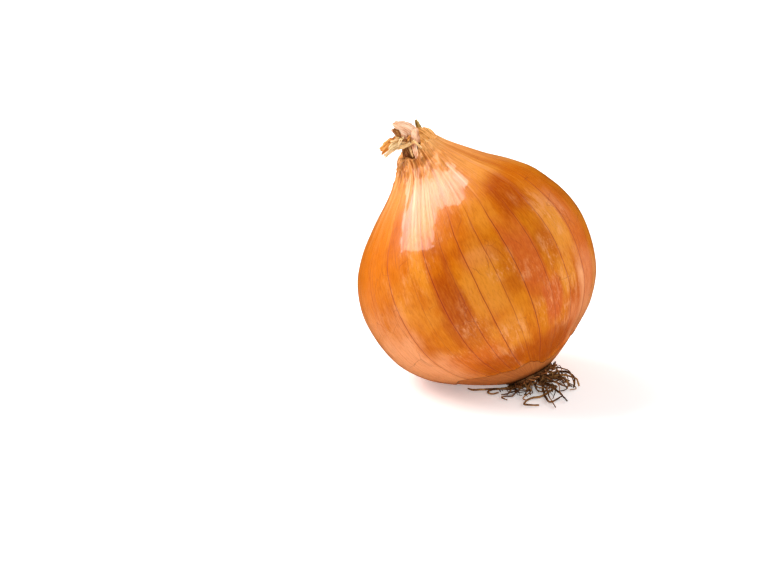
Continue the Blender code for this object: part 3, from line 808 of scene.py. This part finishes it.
def leafFinish(name, pale, mid, dark):
    f = Finish(name, 0.7)
    u, t, seed = f.split(f.attribute("grain", "Vector"))
    bend = f.noise(f.vector(u * 1.5, t * 1.6, seed), 2, 0.5) * 0.5
    fibres = f.noise(f.vector((u + bend) * 8, t, seed), 3, 0.65)
    threads = f.noise(f.vector((u + bend) * 22, t * 2.2, seed), 2, 0.6)
    patches = f.noise(f.vector(u * 2.4, t * 3.2, seed), 4, 0.65)
    tone = fibres * 0.45 + threads * 0.25 + patches * 0.3
    colour = f.ramp(tone, [(0.4, dark), (0.49, mid), (0.58, pale)])
    f.set({"Base Color": colour, "Roughness": 0.62 + fibres * 0.2, "Specular IOR Level": 0.25})
    f.bump(fibres * 0.6 + threads * 0.2 + patches * 0.5, 0.0006, 0.9)
    return f


leafFinishes = {
    tone: leafFinish(tone + "DryLeaf", *colours) for tone, colours in leafForm["tones"].items()
}

coreForm = {
    "columns": 78,
    "rings": [
        (82.4, 4.6), (83.4, 5.8), (84.4, 6.3), (85.6, 6.4), (86.8, 6.3), (87.9, 6.1), (88.9, 5),
        (90.2, 4.3), (91.6, 4.2), (92.8, 3.2), (93.0, 1.2),
    ],
}


def makeCore():
    core = makeTurned("dryNeckCore", coreForm["columns"], coreForm["rings"])
    bpy.ops.mesh.subdivide(number_cuts=1)
    bpy.ops.object.mode_set(mode="OBJECT")
    grain = addGrain(core)
    for vertex in core.data.vertices:
        longitude, radius = roundTheAxis(vertex.co)
        height = vertex.co.z
        grain[vertex.index].vector = (longitude * 1.5, (height - 86) / 8, 3)
        crease = 0.7 * abs(math.sin(11 * longitude + 1.5 * math.sin(2 * longitude)))
        crease += 0.35 * noiseAt(math.sin(longitude) * 9, math.cos(longitude) * 9, height * 0.5)
        radius *= 1 - 0.16 * crease
        vertex.co = onionPoint(longitude, radius, height)
    return core


neckPieces = [(makeLeaf(name, *shape), tone) for name, tone, *shape in leafForm["leaves"]]
neckPieces += [(makeWrap(), "golden"), (makeCore(), "brown")]
for piece, tone in neckPieces:
    smooth(piece, 50)
    piece.data.transform(lying)
    dress(piece, leafFinishes[tone], "dry_neck")
print("dry neck", len(neckPieces), "pieces")


# Roots
rootForm = {
    "radius": 0.42,
    "room": 1.22,  # from a root's middle line to the bulb
    "step": 0.7,
    "wobble": 0.35,
    "seed": 8,
    "short": 34,
    "reach": (4, 9.5),
    "widths": ((0.32, 0.46), (0.16, 0.26)),  # radii at the start and at the tip are drawn from these
    "golden": (3, 4, 5, 8, 11),  # long roots that are lighter
    "goldenWidths": (0.48, 0.34),
    "thick": (7, 8, 10, 12, 14, 16),  # long roots that are thicker
    "thickWidths": (0.62, 0.32),
    "raised": 0.24,  # so that the golden and the thick ones lie on the floor too
    "hairSeed": 21,
    "fineHairs": 34,
    "hairReach": (2.5, 7),
    "hairWidths": ((0.16, 0.34), (0.08, 0.14)),
    "rimStubs": 44,
    "stubWidths": ((0.34, 0.5), (0.2, 0.36)),
    "tones": {  # dark, middle and pale colour
        "dark": ((0.04, 0.015, 0.005), (0.11, 0.043, 0.014), (0.28, 0.125, 0.042)),
        "golden": ((0.11, 0.041, 0.012), (0.26, 0.115, 0.034), (0.44, 0.225, 0.08)),
        "reddish": ((0.055, 0.016, 0.005), (0.17, 0.055, 0.014), (0.36, 0.14, 0.045)),
    },
    "plate": [(0.7, 8.1), (0.1, 7.8), (-0.7, 6.2), (-1.4, 4), (-1.8, 1.4)],
    "long": [
        ((19, -12, 2.2), (16, -13.5, 1.6), (12.8, -15.4, 0.6), (10.8, -16.4, 0.5), (10, -18.4, 0.5)),
        ((17.5, -12, 2.2), (17.4, -14, 1.4), (16.9, -16, 0.5)),
        ((19.4, -12.4, 2), (20, -14.2, 1.2), (20.6, -15.6, 0.5)),
        ((16.4, -12, 2.2), (12, -13.6, 1.6), (8.4, -13.6, 0.9), (5.4, -14, 0.6), (3.3, -16.4, 0.6),
         (4.6, -18, 0.5), (7.2, -16.8, 0.5)),
        ((15.6, -12.6, 2), (9, -13.4, 0.7), (3.6, -14, 0.5), (-1.4, -14.6, 0.5), (-3.4, -13, 0.5)),
        ((16.6, -11.6, 2), (11, -12.8, 1), (6, -12.6, 0.5), (1.6, -13, 0.5)),
        ((14, -12.4, 1.6), (9.4, -13, 0.8), (4.6, -13.2, 0.5), (2.4, -14.2, 0.5)),
        ((22, -12, 2.2), (22.2, -15.6, 1), (22.8, -21.6, 0.6), (24, -25.2, 0.5), (26.1, -23.6, 0.5),
         (28.4, -20.2, 0.6)),
        ((23, -10.6, 2), (26.8, -12.4, 1.2), (24.6, -16.4, 1.2), (21.3, -20.2, 0.6), (17.6, -22.2, 0.5),
         (15.2, -26.8, 0.5), (16.4, -27.8, 0.5), (20.4, -28.2, 0.5)),
        ((21.4, -11.6, 2.2), (23, -15, 1.5), (24.2, -21, 0.9), (25.6, -30, 0.5)),
        ((22.4, -10.8, 2.4), (24.8, -13.6, 1.8), (27.2, -17.6, 1.4), (30, -24.4, 0.6)),
        ((23.4, -9.6, 3), (27, -10, 4.4), (31, -10.4, 4.3), (33.6, -10.6, 3.2), (34.4, -11.2, 0.8)),
        ((23, -8.6, 3), (27.6, -7, 4.6), (31.6, -8, 4.2), (33.2, -10.2, 2.6), (32.4, -12.4, 0.6)),
        ((23.2, -8.4, 2.6), (27.6, -9.4, 3), (31, -10.6, 1.6), (33.4, -12.6, 0.6), (31.4, -13.6, 0.5)),
        ((22.4, -7.4, 2.6), (26, -6, 3), (30, -7.4, 1.8), (32, -11.4, 0.6)),
        ((22.6, -9.4, 2.4), (26.6, -10.8, 2), (30.4, -13.4, 0.8), (27.6, -15.4, 0.5)),
        ((21.6, -6.4, 2.4), (24.6, -3.6, 1.8), (28.6, -3, 0.8), (31.4, -6.2, 0.5)),
        ((22, -6.8, 2.2), (23.4, -2.4, 1), (26.6, 0.6, 0.5), (30, -0.6, 0.5)),
        ((20.4, -5.2, 2), (21.4, 0, 1), (20.6, 4.4, 0.5), (22.8, 6.2, 0.5)),
    ],
}
rootEnd, profile = onionForm["rootEnd"], onionForm["profile"]
bulbOutline = [Vector((curveAt(profile, rootEnd) * i / 16, rootEnd)) for i in range(16)]
bulbOutline += [
    Vector((curveAt(profile, height), height)) for height in (rootEnd + 0.3 * i for i in range(120))
]
# From the onion's frame to where it lies, both in mm
lyingMm = Matrix.Diagonal((1000, 1000, 1000, 1)) @ lying
standingMm = lyingMm.inverted()


def offBulb(point, room):
    local = standingMm @ point
    bend = curveAt(onionForm["bend"], max(local.z, 0))
    local.x -= bend
    spot = Vector((math.hypot(local.x, local.y), local.z))
    near = min(bulbOutline, key=lambda corner: (corner - spot).length_squared)
    inside = rootEnd < spot.y < onionForm["neckEnd"] and spot.x < curveAt(profile, spot.y)
    off = near - spot if inside else spot - near
    moved = near + off.normalized() * room
    around = Vector((local.x, local.y)).normalized() * moved.x
    distance = -off.length if inside else off.length
    return distance, lyingMm @ Vector((around.x + bend, around.y, moved.y))


def rootPath(guide, height, room, wobble, seed):
    axes = [[(i, point[axis]) for i, point in enumerate(guide)] for axis in range(3)]
    length = sum((b - a).length for a, b in zip(guide, guide[1:]))
    count = max(3, round(length / rootForm["step"]))
    points = [guide[0]]
    for i in range(1, count + 1):
        share = (len(guide) - 1) * i / count
        point = Vector([curveAt(axis, share) for axis in axes])
        point += noise.noise_vector(point * 0.45 + Vector((seed, 0, 0))) * wobble
        for _ in range(3):
            distance, moved = offBulb(point, room)
            if distance < room:
                point = moved
            point.z = max(point.z, height)
        if offBulb(point, room)[0] < room - 0.15:
            break
        if (point - points[-1]).length > rootForm["step"] / 3:
            points.append(point)
    return points


def plateSpot(longitude, reach):  # inside the basal plate, a little under its surface
    under = [(radius, height) for height, radius in reversed(rootForm["plate"])]
    return onionPoint(longitude, reach, curveAt(under, max(reach, under[0][0])) + 0.5)


def rootSeat(point):
    longitude, reach = roundTheAxis(standingMm @ point)
    return lyingMm @ plateSpot(longitude, min(reach, 0.9 * rootForm["plate"][1][1]))


def shortGuide(draw, index, count, reachRange):
    longitude = 2.4 * index
    reach = rootForm["plate"][1][1] * 0.9 * math.sqrt((index + 0.5) / count)
    start = lyingMm @ plateSpot(longitude, reach)
    off = lyingMm @ (plateSpot(longitude, reach) + onionPoint(longitude, 1.2, -1.4))
    middle = lyingMm @ onionPoint(0, 0, -1.1)
    way = Vector((start.x - middle.x, start.y - middle.y, 0)).normalized()
    forwards = draw.uniform(0.2, 1) * (0.15 if way.x < -0.3 else 1)
    way = (way + Vector((0.7, -0.35, 0)) * forwards).normalized()
    way = Matrix.Rotation(draw.uniform(-0.6, 0.6), 3, "Z") @ way
    aside = Vector((-way.y, way.x, 0)) * draw.uniform(-2.5, 2.5)
    length = draw.uniform(*reachRange)
    return [
        start,
        off,
        off + way * length * 0.4 + aside + Vector((0, 0, draw.uniform(-2, 1.5))),
        off + way * length * 0.8 - aside * 0.6 + Vector((0, 0, draw.uniform(-4, 0.5))),
        off + way * length + aside * 0.5 + Vector((0, 0, draw.uniform(-5, 0))),
    ]


def strandCurve(name, strands):  # strands are (points, radius at the start, radius at the tip)
    curve = bpy.data.curves.new(name, "CURVE")
    curve.dimensions = "3D"
    curve.bevel_depth = mm
    curve.bevel_resolution = 1
    curve.use_fill_caps = True
    for points, thick, thin in strands:
        spline = curve.splines.new("POLY")
        spline.points.add(len(points) - 1)
        for i, point in enumerate(points):
            share = i / (len(points) - 1)
            spline.points[i].co = (*(point * mm), 1)
            uneven = 0.9 + 0.2 * noise.noise(point * 0.8)
            spline.points[i].radius = (thick + (thin - thick) * share) * uneven
    piece = bpy.data.objects.new(name, curve)
    bpy.context.scene.collection.objects.link(piece)
    makeActive(piece)
    bpy.ops.object.convert(target="MESH")
    return bpy.context.object


def rootFinish(name, dark, mid, pale):
    f = Finish(name, 0.85)
    place = Wire(f, f.add("ShaderNodeTexCoord").outputs["Object"])
    broad = f.noise(place, 2, 0.5, scale=260)
    grain = f.noise(place, 3, 0.6, scale=1600)
    colour = f.ramp(broad * 0.6 + grain * 0.4, [(0.4, dark), (0.5, mid), (0.6, pale)])
    f.set({"Base Color": colour, "Roughness": 0.75 + grain * 0.2, "Specular IOR Level": 0.15})
    f.bump(grain, 0.00015, 0.7)
    return f


def finishRoots(piece, finish):
    smooth(piece, 60)
    dress(piece, finish, "roots")


def drawWidths(draw, widths):
    return [draw.uniform(*limits) for limits in widths]


draw = random.Random(rootForm["seed"])
guides = [[Vector(point) for point in course] for course in rootForm["long"]]
for guide in guides:
    guide.insert(0, rootSeat(guide[0]))
guides += [shortGuide(draw, i, rootForm["short"], rootForm["reach"]) for i in range(rootForm["short"])]
darkStrands, goldenStrands = [], []
golden = rootForm["golden"]
for number, guide in enumerate(guides):
    lowest = rootForm["radius"] + draw.uniform(0, 0.2)
    if number in golden or number in rootForm["thick"]:
        lowest += rootForm["raised"]
    path = rootPath(guide, lowest, rootForm["room"], rootForm["wobble"], number)
    if len(path) > 3:
        widths = drawWidths(draw, rootForm["widths"])
        if number in golden:
            widths = rootForm["goldenWidths"]
        elif number in rootForm["thick"]:
            widths = rootForm["thickWidths"]
        chosen = goldenStrands if number in golden or number % 4 == 1 else darkStrands
        chosen.append((path, *widths))
hairDraw = random.Random(rootForm["hairSeed"])
for index in range(rootForm["fineHairs"]):
    guide = shortGuide(hairDraw, index, rootForm["fineHairs"], rootForm["hairReach"])
    path = rootPath(guide, 0.4 + hairDraw.uniform(0, 0.8), 0.7, 0.8, index + 50)
    if len(path) > 3:
        chosen = goldenStrands if index % 3 == 0 else darkStrands
        chosen.append((path, *drawWidths(hairDraw, rootForm["hairWidths"])))


def rimStub(index, count):  # short thick stub at the edge of the basal plate, curled up to the bulb
    longitude = 2 * math.pi * (index + hairDraw.uniform(-0.3, 0.3)) / count
    outward = hairDraw.uniform(0.9, 2)
    start = lyingMm @ plateSpot(longitude, 6.8)
    knee = lyingMm @ onionPoint(longitude, 7.6 + outward * 0.6, hairDraw.uniform(-1.2, -0.3))
    longitude += hairDraw.uniform(-0.2, 0.2)
    tip = lyingMm @ onionPoint(longitude, 8.2 + outward, hairDraw.uniform(-1.2, 0.6))
    return [start, knee, tip]


stubs = []
for index in range(rootForm["rimStubs"]):
    path = rootPath(rimStub(index, rootForm["rimStubs"]), 0.55, 0.45, 0.3, index + 200)
    if len(path) > 2:
        stubs.append((path, *drawWidths(hairDraw, rootForm["stubWidths"])))


def makePlate():
    plate = makeTurned("basalPlate", 60, [(0.75, 5), *rootForm["plate"], (-1.9, 0.4)])
    bpy.ops.mesh.normals_make_consistent(inside=False)
    bpy.ops.object.mode_set(mode="OBJECT")
    for vertex in plate.data.vertices:
        longitude, radius = roundTheAxis(vertex.co)
        radius *= 1 + 0.06 * noise.noise(vertex.co * 1.3)
        vertex.co = lyingMm @ onionPoint(longitude, radius, vertex.co.z) * mm
    return plate


rootFinishes = {
    tone: rootFinish(tone + "Roots", *colours) for tone, colours in rootForm["tones"].items()
}
finishRoots(strandCurve("darkStrands", darkStrands), rootFinishes["dark"])
finishRoots(strandCurve("goldenStrands", goldenStrands), rootFinishes["golden"])
finishRoots(strandCurve("rimStubs", stubs), rootFinishes["reddish"])
finishRoots(makePlate(), rootFinishes["dark"])
print("roots", len(darkStrands) + len(goldenStrands))


# Studio
studio = {
    "photo": (772, 579),
    "onionPixel": (530.5, 375.2),  # where the middle of the root end shows
    "mmPerPixel": 0.34,
    "elevation": 20,
    "distance": 1.2,
    "floor": (0.93, 0.93, 0.93),
    "floorSize": 24,
    "aim": (0, 0, 0.04),  # what the lights look at
    "softboxes": [  # name, direction, side, distance, size, power
        ("keySoftbox", (-0.696, 0.214, 0.685), (0.4, -0.62, 0.6), 1.1, (0.84, 0.92), 19),
        ("frontFill", (0.3, -0.8, 0.55), (1, 0.4, 0), 1.6, (1.8, 1.2), 11),
        ("rightPanel", (0.85, 0.46, 0.28), (0.46, -0.85, 0), 1.0, (1, 0.8), 9),
    ],
    "windowOutline": [  # in metres, clockwise from the lower left
        (-0.28, -0.38), (-0.53, 0.36), (-0.26, 0.95), (0.32, 0.8), (0.43, 0.36), (0.14, 0.13),
        (0.4, -0.56),
    ],
    "windowRoughness": 0.07,
    "windowCuts": 14,
    "windowLight": 12,
    "worldLight": 0.35,
}


def addStage():
    bpy.ops.mesh.primitive_plane_add(size=studio["floorSize"])
    floor = bpy.context.object
    floor.name = "floor"
    f = Finish("paleFloor", 0.6)
    f.set({"Base Color": studio["floor"], "Emission Color": (1, 1, 1), "Emission Strength": 0.3})
    floor.data.materials.append(f.material)
    floor.visible_glossy = False


def addCamera():
    tilt = math.radians(studio["elevation"])
    view = Vector((0, -math.cos(tilt), math.sin(tilt)))
    upward = Vector((0, math.sin(tilt), math.cos(tilt)))
    scale = studio["mmPerPixel"] * mm
    width, height = studio["photo"]
    right = (width / 2 - studio["onionPixel"][0]) * scale
    up = (studio["onionPixel"][1] - height / 2) * scale
    target = lying.translation + Vector((1, 0, 0)) * right + upward * up
    bpy.ops.object.camera_add(location=target + view * studio["distance"])
    camera = bpy.context.object
    camera.rotation_euler = (math.pi / 2 - tilt, 0, 0)
    camera.data.sensor_width = 36
    camera.data.lens = 36 * studio["distance"] / (width * scale)
    camera.data.clip_end = 30
    bpy.context.scene.camera = camera


def facing(direction, side, distance):  # place and turn of a light that looks at the onion
    outward = Vector(direction).normalized()
    upward = outward.cross(Vector(side)).normalized()
    turned = Matrix((upward.cross(outward), upward, outward)).transposed()
    return Vector(studio["aim"]) + outward * distance, turned


def roughOutline(corners, cuts):  # the same outline with uneven edges
    points = []
    for (x, y), (nextX, nextY) in zip(corners, corners[1:] + corners[:1]):
        for i in range(cuts):
            point = Vector((x, y, 0)).lerp(Vector((nextX, nextY, 0)), i / cuts)
            point += noise.noise_vector(point * 11) * studio["windowRoughness"]
            points.append((point.x, point.y))
    return points


def addWindow(direction, side, distance):  # the bright window that the skin mirrors
    place, turned = facing(direction, side, distance)
    outline = roughOutline(studio["windowOutline"], studio["windowCuts"])
    window = addDisc("window", len(outline), 0.5)
    for vertex, (across, up) in zip(window.data.vertices, outline):
        vertex.co = place + turned @ Vector((across, up, 0))
    f = Finish("windowLight")
    bright = studio["windowLight"]
    f.set({"Base Color": (0, 0, 0), "Emission Color": (1, 1, 1), "Emission Strength": bright})
    window.data.materials.append(f.material)
    window.visible_camera = False
    window.visible_diffuse = False
    window.visible_shadow = False


def addSoftbox(name, direction, side, distance, size, power):
    place, turned = facing(direction, side, distance)
    bpy.ops.object.light_add(type="AREA", location=place)
    lamp = bpy.context.object
    lamp.name = name
    lamp.rotation_euler = turned.to_euler()
    lamp.data.shape = "RECTANGLE"
    lamp.data.size, lamp.data.size_y = size
    lamp.data.energy = power
    lamp.visible_glossy = False


addStage()
addCamera()
keySoftbox, *otherSoftboxes = studio["softboxes"]
addSoftbox(*keySoftbox)
addWindow(*keySoftbox[1:4])
for softbox in otherSoftboxes:
    addSoftbox(*softbox)
world = bpy.data.worlds.new("studioWorld")
world.use_nodes = True
background = world.node_tree.nodes["Background"]
background.inputs["Color"].default_value = (1, 1, 1, 1)
background.inputs["Strength"].default_value = studio["worldLight"]
world.cycles_visibility.glossy = False
bpy.context.scene.world = world
bpy.context.scene.view_settings.view_transform = "Standard"
print("studio ready")
